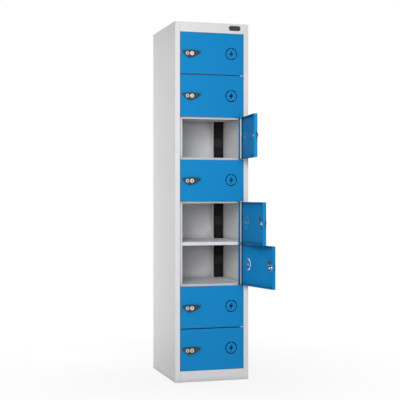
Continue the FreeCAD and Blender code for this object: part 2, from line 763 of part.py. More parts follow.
def mains_inlet():
    """The appliance inlet that is held under the roof, above the trunking."""
    body = new_body("mains_inlet")

    def centred(sketch, x, y, width, depth):
        rectangle(sketch, (x - width / 2, y - depth / 2), (x + width / 2, y + depth / 2))

    flange = sketch_on(body, "Flange", "XY_Plane", (0, 0, top_underside))
    centred(flange, trunking_middle, inlet_y, size.inlet_flange_width, size.inlet_flange_depth)
    pad(body, flange, size.inlet_flange, reverse=True)
    block = sketch_on(body, "Block", "XY_Plane", (0, 0, inlet_bottom))
    centred(block, trunking_middle, inlet_y, size.inlet_width, size.inlet_depth)
    pad(body, block, size.inlet_height)
    socket = sketch_on(body, "Socket", "XY_Plane", (0, 0, top_underside))
    inlet_socket(socket)
    pocket(body, socket, size.inlet_flange + size.inlet_height - size.inlet_floor)
    pins = sketch_on(body, "Pins", "XY_Plane", (0, 0, inlet_bottom + size.inlet_floor))
    for place_in_row, side in ((-1, -1), (0, 1), (1, -1)):
        x = trunking_middle + place_in_row * size.inlet_pin_spacing
        y = inlet_y + side * size.inlet_pin_offset
        centred(pins, x, y, size.inlet_pin_width, size.inlet_pin_depth)
    pad(body, pins, size.inlet_pin_length)
    node(body, "mains_inlet")


def charging_sign(sketch):
    """Draw the sign that is cut through a door: a ring in slots round a lightning bolt."""
    x = size.pivot_inset - size.sign_inset
    z = door_height / 2 + size.sign_rise
    step = 2 * math.pi / SIGN_SLOTS
    bridge = math.radians(SIGN_BRIDGE_DEGREES)
    for number in range(SIGN_SLOTS):
        start = math.pi / 2 + number * step + bridge / 2
        ring_slot(sketch, (x, z), size.sign_radius, size.sign_line, start, start + step - bridge)
    across = size.bolt_width / 2
    lean = size.bolt_width / 4
    up = size.bolt_height / 2
    notch_across = size.bolt_notch_width / 2
    notch_up = size.bolt_notch_height / 2
    outline(sketch, [
        (x + lean, z + up), (x - across, z - notch_up), (x - notch_across, z - notch_up),
        (x - lean, z - up), (x + across, z + notch_up), (x + notch_across, z + notch_up)])


def door_panel(number):
    """A door pan with holes for rod and lock, a slot for the clip of the lock, and the charging sign."""
    body = new_body(f"door_{number}_panel")
    pan = sketch_on(body, "Pan", "XY_Plane")
    rectangle(pan, (free_edge, door_front), (size.pivot_inset, door_rear))
    hollow = shell(body, pad(body, pan, door_height), ("Y", door_rear))
    outer = round_edges(body, hollow, bend_outside, edges_at(hollow, y=door_front))
    round_edges(body, outer, size.bend_inside, edges_at(outer, y=skin_rear))

    rod_holes = sketch_on(body, "RodHoles", "XY_Plane")
    circle(rod_holes, (0, 0), rod_hole_radius)
    pocket(body, rod_holes, door_height, reverse=True)
    lock_hole = sketch_on(body, "LockHole", "XZ_Plane", (0, 0, -door_front))
    circle(lock_hole, (lock_x, lock_z), barrel_hole_radius)
    pocket(body, lock_hole, size.sheet)
    slot = sketch_on(body, "ClipSlot", "YZ_Plane", (0, 0, free_edge))
    half = size.clip_height / 2 + size.clip_slot_clearance
    rectangle(slot, (door_front + bend_outside, lock_z - half),
              (door_front + size.clip_slot_rear, lock_z + half))
    pocket(body, slot, size.sheet, reverse=True)
    sign = sketch_on(body, "Sign", "XZ_Plane", (0, 0, -door_front))
    charging_sign(sign)
    pocket(body, sign, size.sheet)
    hang(body, number)
    node(body, f"door_{number}_panel")


def escutcheon(number):
    """The moulded plate round a lock, and the number disc set into it."""
    body = new_body(f"Escutcheon{number}")
    face = sketch_on(body, "Face", "XZ_Plane", (0, 0, -door_front))
    tip_x = free_edge + size.plate_inset
    tip_z = lock_z + size.plate_tip_rise
    far_tip_x = tip_x + size.plate_length
    lowest_x = tip_x + size.plate_lowest
    lowest_z = tip_z - size.plate_drop
    outline(face, [
        (tip_x, tip_z, size.plate_side_radius), (lowest_x, lowest_z, size.plate_side_radius),
        (far_tip_x, tip_z, size.plate_top_radius)])
    plate = pad(body, face, size.plate_thickness)
    tips = edges_at(plate, x=tip_x, z=tip_z) + edges_at(plate, x=far_tip_x, z=tip_z)
    plate = round_edges(body, plate, size.plate_tip_radius, tips)
    plate = round_edges(body, plate, size.plate_corner_radius, edges_at(plate, x=lowest_x, z=lowest_z))
    round_edges(body, plate, size.plate_edge_radius, edges_at(plate, y=plate_front))

    disc_x = lock_x + size.disc_offset
    seat = sketch_on(body, "DiscSeat", "XZ_Plane", (0, 0, -plate_front))
    circle(seat, (disc_x, lock_z), size.disc_radius + size.disc_clearance)
    pocket(body, seat, size.disc_recess)
    hole = sketch_on(body, "LockHole", "XZ_Plane", (0, 0, -plate_front))
    circle(hole, (lock_x, lock_z), barrel_hole_radius)
    pocket(body, hole, size.plate_thickness)

    disc = new_body(f"NumberDisc{number}")
    disc_face = sketch_on(disc, "Face", "XZ_Plane", (0, 0, -plate_front - size.disc_recess))
    circle(disc_face, (disc_x, lock_z), size.disc_radius)
    pad(disc, disc_face, size.disc_thickness)
    hang(pair(f"door_{number}_escutcheon", body, disc), number)


def turned_on_lock_axis(name, profile):
    """Turn a piece on the lock axis from corners given as radius and depth."""
    body = new_body(name)
    section = sketch_on(body, "Profile", "XY_Plane", (lock_x, 0, lock_z))
    outline(section, profile)
    turn(body, section)
    return body


def lock_barrel(number):
    """The barrel through the escutcheon and the door, and the clip that sits in its groove."""
    bore = size.core_radius + size.core_clearance
    head_bore = size.core_head_radius + size.core_clearance
    head_seat = barrel_front + size.core_head + size.core_clearance
    barrel_rear = cam_front - size.cam_play
    barrel = turned_on_lock_axis(f"Barrel{number}", [
        (bore, barrel_rear), (bore, head_seat), (head_bore, head_seat), (head_bore, barrel_front),
        (size.barrel_flange_radius, barrel_front), (size.barrel_flange_radius, plate_front),
        (size.barrel_radius, plate_front), (size.barrel_radius, skin_rear), (groove_radius, skin_rear),
        (groove_radius, clip_rear), (size.barrel_radius, clip_rear), (size.barrel_radius, barrel_rear)])

    clip = new_body(f"Clip{number}")
    plate = sketch_on(clip, "Plate", "XZ_Plane", (0, 0, -skin_rear))
    left = lock_x - size.clip_length / 2
    right = lock_x + size.clip_length / 2
    bottom = lock_z - size.clip_height / 2
    top = lock_z + size.clip_height / 2
    rectangle(plate, (left, bottom), (right, top))
    solid = pad(clip, plate, size.clip_thickness, reverse=True)
    corners = [edges_at(solid, x=x, z=z) for x in (left, right) for z in (bottom, top)]
    round_edges(clip, solid, size.clip_corner_radius, sum(corners, []))
    mouth = sketch_on(clip, "Mouth", "XZ_Plane", (0, 0, -skin_rear))
    radius = groove_radius + size.barrel_clearance
    outline(mouth, [
        (lock_x, lock_z + radius, radius), (lock_x - radius, lock_z, radius),
        (lock_x, lock_z - radius), (right, lock_z - radius), (right, lock_z + radius)])
    pocket(clip, mouth, size.clip_thickness)
    hang(pair(f"door_{number}_lock_barrel", barrel, clip), number)


def lock_core(number):
    """The core that the key turns, with its key slot and the square that drives the cam."""
    hole_bottom = cam_rear - size.screw_length
    core = turned_on_lock_axis(f"door_{number}_lock_core", [
        (0, hole_bottom), (0, barrel_front), (size.core_head_radius, barrel_front),
        (size.core_head_radius, barrel_front + size.core_head),
        (size.core_radius, barrel_front + size.core_head), (size.core_radius, cam_front),
        (screw_hole_radius, cam_front), (screw_hole_radius, hole_bottom)])
    square = sketch_on(core, "Square", "XZ_Plane", (0, 0, -cam_front))
    half = size.shank_width / 2
    rectangle(square, (lock_x - half, lock_z - half), (lock_x + half, lock_z + half))
    circle(square, (lock_x, lock_z), screw_hole_radius)
    pad(core, square, size.cam_thickness, reverse=True)
    keyway = sketch_on(core, "Keyway", "XZ_Plane", (0, 0, -barrel_front))
    across = size.keyway_width / 2
    along = size.keyway_height / 2
    rectangle(keyway, (lock_x - across, lock_z - along), (lock_x + across, lock_z + along))
    pocket(core, keyway, size.keyway_depth)
    hang(core, number)
    node(core, f"door_{number}_lock_core")


def lock_cam(number):
    """The cranked cam, unlocked and upright, and the screw that holds it on the core.

    The two bends carry the tip back behind the stop strip. Each bend lies lower on the rear face
    than on the front face, by as much as keeps the slanted part as thick as the rest.
    """
    cam = new_body(f"Cam{number}")
    side = sketch_on(cam, "Side", "YZ_Plane", (0, 0, lock_x))
    rise = size.cam_second_bend - size.cam_first_bend
    crank = cam_tip_front - cam_front
    lag = size.cam_thickness * (longest_side(rise, crank) - rise) / crank
    bottom = lock_z - size.cam_width / 2
    first_bend = lock_z + size.cam_first_bend
    second_bend = lock_z + size.cam_second_bend
    top = lock_z + size.cam_length
    outline(side, [
        (cam_front, bottom), (cam_rear, bottom), (cam_rear, first_bend - lag),
        (cam_tip_rear, second_bend - lag), (cam_tip_rear, top), (cam_tip_front, top),
        (cam_tip_front, second_bend), (cam_front, first_bend)])
    blade = pad(cam, side, size.cam_width, symmetric=True)
    edges = (lock_x - size.cam_width / 2, lock_x + size.cam_width / 2)
    ends = [edges_at(blade, x=x, z=z) for x in edges for z in (bottom, top)]
    round_edges(cam, blade, size.cam_corner_radius, sum(ends, []))
    half = size.shank_width / 2 + size.shank_clearance
    hole = sketch_on(cam, "SquareHole", "XZ_Plane", (0, 0, -cam_front))
    rectangle(hole, (lock_x - half, lock_z - half), (lock_x + half, lock_z + half))
    pocket(cam, hole, size.cam_thickness)
    screw_tip = cam_rear - size.screw_length
    screw = turned_on_lock_axis(f"CamScrew{number}", [
        (0, screw_tip), (size.screw_radius, screw_tip), (size.screw_radius, cam_rear),
        (size.screw_head_radius, cam_rear), (size.screw_head_radius, cam_rear + size.screw_head),
        (0, cam_rear + size.screw_head)])
    hang(pair(f"door_{number}_lock_cam", cam, screw), number)


def build():
    side_panel("left_side_panel", -1)
    side_panel("right_side_panel", 1)
    back_panel()
    top_panel()
    base_panel()
    for number in range(1, DOOR_COUNT):
        shelf(number)
    hinge_rod()
    hinge_brackets()
    hinge_washers()
    power_trunking()
    socket_strip()
    socket_outlets()
    wiring_loom()
    mains_inlet()
    for number in range(1, DOOR_COUNT + 1):
        door_panel(number)
        escutcheon(number)
        lock_barrel(number)
        lock_core(number)
        lock_cam(number)
    doc.recompute()


def export():
    """Check every object and write each node to its own file."""
    for item in doc.Objects:
        if "Invalid" in item.State or "Error" in item.State:
            raise RuntimeError(f"{item.Label} failed: {item.State}")
    for item in nodes:
        if item.Shape.isNull() or not item.Shape.isValid():
            raise RuntimeError(f"{item.Label} has no valid shape")
    os.makedirs("parts", exist_ok=True)
    for item in nodes:
        item.Shape.exportStep(f"parts/{item.Label}.step")


build()
export()
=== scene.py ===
"""Looks of the charging locker.

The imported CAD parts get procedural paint, plastic and metal. Number caps, figures, screws and the
badge are built here and ride on the CAD bodies. Lengths are in metres, in the frame of the CAD: +Z is
up, the doors face -Y and their hinge line is on the +X side. Doors are numbered from the top. What
sits on a door is drawn on the closed door and then turned to the door's rest angle.
"""

import json
import math

import bmesh
import bpy
from mathutils import Matrix, Vector

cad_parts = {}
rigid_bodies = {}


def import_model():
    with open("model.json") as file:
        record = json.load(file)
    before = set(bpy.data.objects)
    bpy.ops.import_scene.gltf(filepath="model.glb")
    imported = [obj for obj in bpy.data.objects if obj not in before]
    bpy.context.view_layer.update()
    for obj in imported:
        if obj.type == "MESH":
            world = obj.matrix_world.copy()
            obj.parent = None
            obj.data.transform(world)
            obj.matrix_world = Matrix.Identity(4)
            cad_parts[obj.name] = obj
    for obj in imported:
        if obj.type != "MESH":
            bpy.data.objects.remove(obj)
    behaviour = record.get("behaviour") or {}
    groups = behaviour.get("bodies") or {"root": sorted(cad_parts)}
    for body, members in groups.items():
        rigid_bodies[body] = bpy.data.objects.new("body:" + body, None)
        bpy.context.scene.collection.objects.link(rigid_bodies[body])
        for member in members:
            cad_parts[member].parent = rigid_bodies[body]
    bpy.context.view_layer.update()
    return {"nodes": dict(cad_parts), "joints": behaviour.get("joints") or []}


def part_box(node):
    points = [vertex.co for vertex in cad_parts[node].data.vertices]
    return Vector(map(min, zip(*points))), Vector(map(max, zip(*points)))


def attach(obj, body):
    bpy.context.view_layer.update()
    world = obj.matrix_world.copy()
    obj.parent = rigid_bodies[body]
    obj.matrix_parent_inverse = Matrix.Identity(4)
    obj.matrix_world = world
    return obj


MM = 0.001
DOORS = range(1, 9)
SHELVES = range(1, 8)

for item in list(bpy.data.objects):
    bpy.data.objects.remove(item)
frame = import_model()
nodes = frame["nodes"]
joints = {joint["name"]: joint for joint in frame["joints"]}


# Materials

CARCASS_GREY = (0.84, 0.84, 0.845)
DOOR_BLUE = (0.0114, 0.276, 0.64)
TRUNKING_WHITE = (0.90, 0.90, 0.895)
COVER_BLACK = (0.007, 0.007, 0.0073)
OUTLET_BLACK = (0.012, 0.012, 0.0125)
ESCUTCHEON_GREY = (0.030, 0.031, 0.032)
FIGURE_BLACK = (0.008, 0.008, 0.009)
LOCK_PLATE = (0.80, 0.80, 0.81)
CORE_PLATE = (0.42, 0.42, 0.425)
ROD_PLATE = (0.42, 0.42, 0.42)
DISC_PLATE = (0.64, 0.64, 0.645)
ZINC = (0.76, 0.765, 0.77)
NYLON_TONES = ((0.80, 0.79, 0.74), (0.88, 0.87, 0.84))
LIVE_BROWN = (0.16, 0.06, 0.02)
NEUTRAL_BLUE = (0.02, 0.10, 0.40)
EARTH_GREEN = (0.02, 0.22, 0.04)
EARTH_YELLOW = (0.75, 0.60, 0.03)

# Rays per sample for edges and crevices, and the cosines of bend between which an edge fades.
RAY_SAMPLES = 4
EDGE_COSINES = (0.75, 0.99)

# Detail of the surfaces. A tone is a factor on the colour, and a share is how much of it a blend takes.
COAT_CLOUD_SIZE = 400 * MM
COAT_CLOUD_TONES = (0.965, 1.035)
COAT_SPECK_SIZE = 1.1 * MM
COAT_SPECK_RANGE = (0.35, 0.75)
COAT_SPECK_TONE = 0.95
# Paler edges: partly wear of the thin powder on bends, partly a painted highlight along them.
COAT_EDGE_WIDTH = 1.2 * MM
COAT_EDGE_SHARE = 0.5
COAT_EDGE_TONE = 1.15
# Painted shade: the coat darkens in gaps and inner corners, within a reach, towards a darker tone.
COAT_SHADE_REACH = 50 * MM
COAT_SHADE_FULL = 0.95
COAT_SHADE_TONE = 0.12
COAT_PATCH_SIZE = 30 * MM
COAT_ROUGHNESS = (0.42, 0.54)
COAT_PEEL_SIZE = 1.6 * MM
COAT_PEEL_DEPTH = 0.06 * MM

PLASTIC_CLOUD_SIZE = 50 * MM
PLASTIC_CLOUD_TONES = (0.85, 1.15)
PLASTIC_EDGE_WIDTH = 0.8 * MM
PLASTIC_EDGE_SHARE = 0.4
PLASTIC_EDGE_TONE = 1.8
PLASTIC_EDGE_POLISH = 0.1
PLASTIC_PATCH_SIZE = 12 * MM
PLASTIC_PATCH_ROUGHNESS = 0.05
PLASTIC_GRAIN_STEEPNESS = 0.12

BRUSH_SIZE = 1.2 * MM
BRUSH_TONE = 0.8
BRUSH_ROUGHNESS = 0.06
BRUSH_DEPTH = 0.01 * MM
POLISH_SIZE = 8 * MM
POLISH_LOSS = (-0.06, 0.08)

SPANGLE_SIZE = 6 * MM
SPANGLE_TONE = 0.86
SPANGLE_ROUGHNESS = (0.1, 0.2)
BLOOM_SIZE = 30 * MM
BLOOM_SHARE = 0.5
BLOOM_TONE = 0.7
ZINC_RIPPLE_SIZE = 2 * MM
ZINC_RIPPLE_DEPTH = 0.02 * MM

# Painted shade: metals darken in their corners, within a reach, towards a darker tone.
METAL_SHADE_REACH = 10 * MM
METAL_SHADE_SHARE = 0.9
METAL_SHADE_RANGE = (0.2, 0.9)
METAL_SHADE_TONE = 0.15

NYLON_CLOUD_SIZE = 10 * MM
NYLON_PATCH_SIZE = 4 * MM
NYLON_ROUGHNESS = (0.4, 0.55)
NYLON_GRAIN_SIZE = 0.8 * MM
NYLON_GRAIN_DEPTH = 0.03 * MM

CONDUCTOR_SPACING = 8 * MM
CONDUCTOR_PATCH_SIZE = 10 * MM
CONDUCTOR_ROUGHNESS = (0.35, 0.5)
EARTH_STRIPE_SCALE = 40
EARTH_STRIPE_EDGE = (0.45, 0.55)


class Finish:
    """A material with a Principled shader, and short ways to put nodes in front of it."""

    def __init__(self, name, **constants):
        """The constants are inputs of the shader, with _ in place of a space."""
        self.material = bpy.data.materials.new(name)
        self.material.use_nodes = True
        self.tree = self.material.node_tree
        self.shader = self.tree.nodes["Principled BSDF"]
        self.place = self.node("ShaderNodeTexCoord").outputs["Object"]
        for socket, value in constants.items():
            self.shader.inputs[socket.replace("_", " ")].default_value = value

    def node(self, kind, **settings):
        """Add a node with the given settings."""
        node = self.tree.nodes.new(kind)
        for setting, value in settings.items():
            setattr(node, setting, value)
        return node

    def feed(self, target, source):
        """Link a socket, or set its value."""
        if isinstance(source, bpy.types.NodeSocket):
            self.tree.links.new(source, target)
        else:
            target.default_value = source

    def stretched(self, x, y, z):
        """The place with each axis scaled by itself."""
        mapping = self.node("ShaderNodeMapping")
        self.feed(mapping.inputs["Vector"], self.place)
        mapping.inputs["Scale"].default_value = (x, y, z)
        return mapping.outputs["Vector"]

    def noise(self, size, detail=2.0, place=None):
        """Noise from 0 to 1 with features of about the given size."""
        node = self.node("ShaderNodeTexNoise")
        self.feed(node.inputs["Vector"], place or self.place)
        node.inputs["Scale"].default_value = 1 / size
        node.inputs["Detail"].default_value = detail
        return node.outputs["Fac"]

    def spread(self, value, low, high, start=0.3, end=0.7):
        """Map a value from between start and end to between low and high."""
        node = self.node("ShaderNodeMapRange")
        self.feed(node.inputs["Value"], value)
        limits = {"From Min": start, "From Max": end, "To Min": low, "To Max": high}
        for socket, number in limits.items():
            node.inputs[socket].default_value = number
        return node.outputs["Result"]

    def calculate(self, operation, first, second):
        """Combine two values."""
        node = self.node("ShaderNodeMath", operation=operation)
        self.feed(node.inputs[0], first)
        self.feed(node.inputs[1], second)
        return node.outputs["Value"]

    def blend(self, share, first, second):
        """Mix two colours, from the first at 0 to the second at 1."""
        node = self.node("ShaderNodeMix", data_type="RGBA")
        colours = [socket for socket in node.inputs if socket.type == "RGBA"]
        self.feed(node.inputs["Factor"], share)
        for socket, colour in zip(colours, (first, second)):
            self.feed(socket, colour if isinstance(colour, bpy.types.NodeSocket) else (*colour, 1))
        return next(socket for socket in node.outputs if socket.type == "RGBA")

    def edges(self, radius):
        """1 on sharp or tightly bent edges, 0 on flat faces."""
        bevel = self.node("ShaderNodeBevel", samples=RAY_SAMPLES)
        bevel.inputs["Radius"].default_value = radius
        geometry = self.node("ShaderNodeNewGeometry")
        dot = self.node("ShaderNodeVectorMath", operation="DOT_PRODUCT")
        self.feed(dot.inputs[0], bevel.outputs["Normal"])
        self.feed(dot.inputs[1], geometry.outputs["Normal"])
        return self.spread(dot.outputs["Value"], 1, 0, *EDGE_COSINES)

    def crevices(self, reach):
        """0 in the open, towards 1 in gaps and inner corners."""
        node = self.node("ShaderNodeAmbientOcclusion", samples=RAY_SAMPLES)
        node.inputs["Distance"].default_value = reach
        return self.calculate("SUBTRACT", 1.0, node.outputs["AO"])

    def relief(self, height, depth):
        """Raise the surface by a height from 0 to 1 times the depth."""
        node = self.node("ShaderNodeBump")
        self.feed(node.inputs["Height"], height)
        node.inputs["Distance"].default_value = depth
        node.inputs["Strength"].default_value = 1
        self.feed(self.shader.inputs["Normal"], node.outputs["Normal"])

    def colour(self, source):
        """Feed the shader's colour."""
        self.feed(self.shader.inputs["Base Color"], source)

    def roughness(self, source):
        """Feed the shader's roughness."""
        self.feed(self.shader.inputs["Roughness"], source)


def scaled(colour, tone):
    """A colour with each channel times the tone."""
    return tuple(channel * tone for channel in colour)


def clouded(finish, size, colour, tones):
    """A colour that drifts between two tones."""
    darker, paler = (scaled(colour, tone) for tone in tones)
    return finish.blend(finish.noise(size, detail=3), darker, paler)


def powder_coat(name, colour, gloss, crevice_shade, shade_start):
    """Baked powder paint: slight orange peel, cloudy tone, painted shade in gaps, edges a little paler.

    Two arguments set the painted shade in gaps: how much of it the tightest gap takes, and the crevice
    up to which there is none. The paler edges are partly wear, partly a painted highlight.
    """
    finish = Finish(name, Specular_IOR_Level=gloss)
    tone = clouded(finish, COAT_CLOUD_SIZE, colour, COAT_CLOUD_TONES)
    speck = finish.spread(finish.noise(COAT_SPECK_SIZE, detail=1), 0, 1, *COAT_SPECK_RANGE)
    tone = finish.blend(speck, scaled(colour, COAT_SPECK_TONE), tone)
    # Paler edges, partly wear and partly a painted highlight.
    edge_band = finish.calculate("MULTIPLY", finish.edges(COAT_EDGE_WIDTH), COAT_EDGE_SHARE)
    tone = finish.blend(edge_band, tone, scaled(colour, COAT_EDGE_TONE))
    # Painted shade: darken the coat in gaps and inner corners.
    painted_shade = finish.spread(finish.crevices(COAT_SHADE_REACH), 0, crevice_shade, shade_start, COAT_SHADE_FULL)
    finish.colour(finish.blend(painted_shade, tone, scaled(colour, COAT_SHADE_TONE)))
    finish.roughness(finish.spread(finish.noise(COAT_PATCH_SIZE), *COAT_ROUGHNESS))
    finish.relief(finish.noise(COAT_PEEL_SIZE, detail=1.5), COAT_PEEL_DEPTH)
    return finish.material


def moulded_plastic(name, colour, gloss, rough, grain):
    """Plastic with a fine sparked grain, rubbed a little smoother on its edges."""
    finish = Finish(name, Specular_IOR_Level=gloss)
    tone = clouded(finish, PLASTIC_CLOUD_SIZE, colour, PLASTIC_CLOUD_TONES)
    edge_band = finish.edges(PLASTIC_EDGE_WIDTH)
    worn = finish.calculate("MULTIPLY", edge_band, PLASTIC_EDGE_SHARE)
    finish.colour(finish.blend(worn, tone, scaled(colour, PLASTIC_EDGE_TONE)))
    uneven = finish.spread(finish.noise(PLASTIC_PATCH_SIZE), rough - PLASTIC_PATCH_ROUGHNESS,
                           rough + PLASTIC_PATCH_ROUGHNESS)
    polish = finish.calculate("MULTIPLY", edge_band, PLASTIC_EDGE_POLISH)
    finish.roughness(finish.calculate("SUBTRACT", uneven, polish))
    finish.relief(finish.noise(grain), grain * PLASTIC_GRAIN_STEEPNESS)
    return finish.material


def add_grime(finish, tone, colour):
    """Colour a metal with its tone, darkened in its corners as painted shade."""
    # Painted shade in the corners of the metal.
    corner_shade = finish.spread(finish.crevices(METAL_SHADE_REACH), 0, METAL_SHADE_SHARE, *METAL_SHADE_RANGE)
    finish.colour(finish.blend(corner_shade, tone, scaled(colour, METAL_SHADE_TONE)))


def plated_metal(name, colour, rough, streak):
    """Plated metal with faint brushing, uneven polish and painted shade in its corners.

    Streak is how many times longer than wide the brushing is, along Z.
    """
    finish = Finish(name, Metallic=1.0)
    brushed = finish.noise(BRUSH_SIZE, place=finish.stretched(streak, streak, 1))
    add_grime(finish, finish.blend(brushed, scaled(colour, BRUSH_TONE), colour), colour)
    polish = finish.spread(finish.noise(POLISH_SIZE, detail=3), *(rough + loss for loss in POLISH_LOSS))
    scratched = finish.calculate("MULTIPLY", brushed, BRUSH_ROUGHNESS)
    finish.roughness(finish.calculate("ADD", polish, scratched))
    finish.relief(brushed, BRUSH_DEPTH)
    return finish.material


def zinc_plate(name, colour):
    """Zinc plating with its spangle, a dull bloom and painted shade in its corners."""
    finish = Finish(name, Metallic=1.0)
    spangle = finish.node("ShaderNodeTexVoronoi", feature="F1")
    finish.feed(spangle.inputs["Vector"], finish.place)
    spangle.inputs["Scale"].default_value = 1 / SPANGLE_SIZE
    flake = finish.node("ShaderNodeSeparateColor")
    finish.feed(flake.inputs["Color"], spangle.outputs["Color"])
    tone = finish.blend(flake.outputs["Red"], scaled(colour, SPANGLE_TONE), colour)
    bloom = finish.spread(finish.noise(BLOOM_SIZE, detail=4), 0, BLOOM_SHARE)
    add_grime(finish, finish.blend(bloom, tone, scaled(colour, BLOOM_TONE)), colour)
    finish.roughness(finish.spread(flake.outputs["Green"], *SPANGLE_ROUGHNESS, start=0, end=1))
    finish.relief(finish.noise(ZINC_RIPPLE_SIZE), ZINC_RIPPLE_DEPTH)
    return finish.material


def nylon(name):
    """Milky natural nylon, through which some light passes."""
    finish = Finish(name, Subsurface_Weight=0.25, Subsurface_Scale=2 * MM)
    finish.colour(finish.blend(finish.noise(NYLON_CLOUD_SIZE), *NYLON_TONES))
    finish.roughness(finish.spread(finish.noise(NYLON_PATCH_SIZE), *NYLON_ROUGHNESS))
    finish.relief(finish.noise(NYLON_GRAIN_SIZE, detail=1), NYLON_GRAIN_DEPTH)
    return finish.material


def conductors(name, middle_x):
    """Insulation of three conductors side by side: brown, green and yellow, blue."""
    finish = Finish(name, Specular_IOR_Level=0.4)
    parts = finish.node("ShaderNodeSeparateXYZ")
    finish.feed(parts.inputs["Vector"], finish.place)
    wave = finish.node("ShaderNodeTexWave", wave_type="BANDS", bands_direction="DIAGONAL")
    finish.feed(wave.inputs["Vector"], finish.place)
    wave.inputs["Scale"].default_value = EARTH_STRIPE_SCALE
    stripe = finish.spread(wave.outputs["Fac"], 0, 1, *EARTH_STRIPE_EDGE)
    tone = finish.blend(stripe, EARTH_GREEN, EARTH_YELLOW)
    left = finish.calculate("LESS_THAN", parts.outputs["X"], middle_x - CONDUCTOR_SPACING / 2)
    right = finish.calculate("GREATER_THAN", parts.outputs["X"], middle_x + CONDUCTOR_SPACING / 2)
    tone = finish.blend(left, tone, LIVE_BROWN)
    finish.colour(finish.blend(right, tone, NEUTRAL_BLUE))
    finish.roughness(finish.spread(finish.noise(CONDUCTOR_PATCH_SIZE), *CONDUCTOR_ROUGHNESS))
    return finish.material


loom_low, loom_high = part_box("wiring_loom")
loom_middle = (loom_low.x + loom_high.x) / 2

# The last two numbers of each paint set its painted shade in gaps and inner corners.
carcass_paint = powder_coat("carcass_paint", CARCASS_GREY, gloss=0.06, crevice_shade=0.9, shade_start=0.35)
door_paint = powder_coat("door_paint", DOOR_BLUE, gloss=0.05, crevice_shade=0.95, shade_start=0.1)
trunking_paint = powder_coat("trunking_paint", TRUNKING_WHITE, gloss=0.2, crevice_shade=0.1, shade_start=0.35)
black_plastic = moulded_plastic("black_plastic", COVER_BLACK, gloss=0.2, rough=0.5, grain=0.7 * MM)
outlet_plastic = moulded_plastic("outlet_plastic", OUTLET_BLACK, gloss=0.4, rough=0.34, grain=0.6 * MM)
escutcheon_plastic = moulded_plastic("escutcheon_plastic", ESCUTCHEON_GREY, gloss=0.4, rough=0.42,
                                     grain=0.5 * MM)
figure_ink = moulded_plastic("figure_ink", FIGURE_BLACK, gloss=0.2, rough=0.5, grain=0.4 * MM)
lock_metal = plated_metal("lock_metal", LOCK_PLATE, rough=0.26, streak=6)
core_metal = plated_metal("core_metal", CORE_PLATE, rough=0.3, streak=6)
zinc_steel = zinc_plate("zinc_steel", ZINC)
rod_steel = plated_metal("rod_steel", ROD_PLATE, rough=0.36, streak=6)
disc_metal = plated_metal("disc_metal", DISC_PLATE, rough=0.4, streak=1)
washer_nylon = nylon("nylon")
cable_insulation = conductors("cable_insulation", loom_middle)


def paint(material, *names):
    """Give CAD nodes a material."""
    for name in names:
        for slot in nodes[name].material_slots:
            slot.material = material


paint(carcass_paint, "left_side_panel", "right_side_panel", "top_panel", "base_panel", "back_panel",
      "hinge_brackets", *(f"shelf_{number}" for number in SHELVES))
paint(trunking_paint, "power_trunking")
paint(rod_steel, "hinge_rod")
paint(washer_nylon, "hinge_washers")
paint(black_plastic, "socket_strip", "mains_inlet")
paint(outlet_plastic, "socket_outlets")
paint(cable_insulation, "wiring_loom")
for number in DOORS:
    paint(door_paint, f"door_{number}_panel")
    paint(escutcheon_plastic, f"door_{number}_escutcheon")
    paint(lock_metal, f"door_{number}_lock_barrel")
    paint(core_metal, f"door_{number}_lock_core")
    paint(zinc_steel, f"door_{number}_lock_cam")


# Pieces

SMOOTH_ANGLE = 28
TURNED_STEPS = 40
CORNER_STEPS = 8

# Number cap: radius and height of its rim and face in millimetres, and the figure on it.
DISC_OFFSET = 23.5 * MM
CAP_PROFILE = ((10.3, 0), (10.3, 0.35), (9.9, 0.7), (9.1, 0.7), (8.7, 0.35))
CAP_FACE = 0.35 * MM
FIGURE_SIZE = 16 * MM
FIGURE_BOLDNESS = 0.5 * MM
FIGURE_RELIEF = 0.15 * MM
FIGURE_WELD = 0.002 * MM

# Screws: shares of the radius for the dome as radius and height, and for the arms of the recess.
SCREW_PROFILE = ((1, 0), (1, 0.14), (0.9, 0.28), (0.68, 0.38), (0.35, 0.43), (0.05, 0.44))
SCREW_RECESS = (0.55, 0.12, 0.16)
CAM_SCREW_RADIUS = 4.6 * MM
CAM_SCREW_DEPTH = 15 * MM
INLET_SCREW_RADIUS = 3.2 * MM
INLET_SCREW_INSET = 3.5 * MM

# Blank badge on the header: inset and height of its rim and field in millimetres.
BADGE_X = 117 * MM
BADGE_BELOW_ROOF = 23 * MM
BADGE_WIDTH = 60 * MM
BADGE_HEIGHT = 24 * MM
BADGE_CORNER = 9 * MM
BADGE_PROFILE = ((0, 0), (0, 1.6), (0.8, 2.4), (2.2, 2.4), (2.7, 1.8))

door_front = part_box("door_1_panel")[0].y
disc_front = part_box("door_1_escutcheon")[0].y
lock_x = joints["lock_1_turn"]["pos_m"][0]
disc_x = lock_x + DISC_OFFSET
header_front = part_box("top_panel")[0].y
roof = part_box("top_panel")[1].z


def lock_height(number):
    """The height of a door's lock."""
    return joints[f"lock_{number}_turn"]["pos_m"][2]


def rest_turn(number):
    """The matrix that turns a piece drawn on a closed door to the door's rest angle."""
    hinge = joints[f"door_{number}_hinge"]
    pivot = Matrix.Translation(hinge["pos_m"])
    opened = math.radians(-hinge["range_deg"][0])
    return pivot @ Matrix.Rotation(opened, 4, hinge["axis"]) @ pivot.inverted()


def add_mesh(name, shape, material):
    """Turn a bmesh into an object."""
    bmesh.ops.recalc_face_normals(shape, faces=shape.faces)
    mesh = bpy.data.meshes.new(name)
    shape.to_mesh(mesh)
    shape.free()
    mesh.materials.append(material)
    item = bpy.data.objects.new(name, mesh)
    bpy.context.scene.collection.objects.link(item)
    return item


def add_piece(name, shape, material, body):
    """Add a piece that shows and rides on a body."""
    item = add_mesh(name, shape, material)
    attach(item, body)
    return item


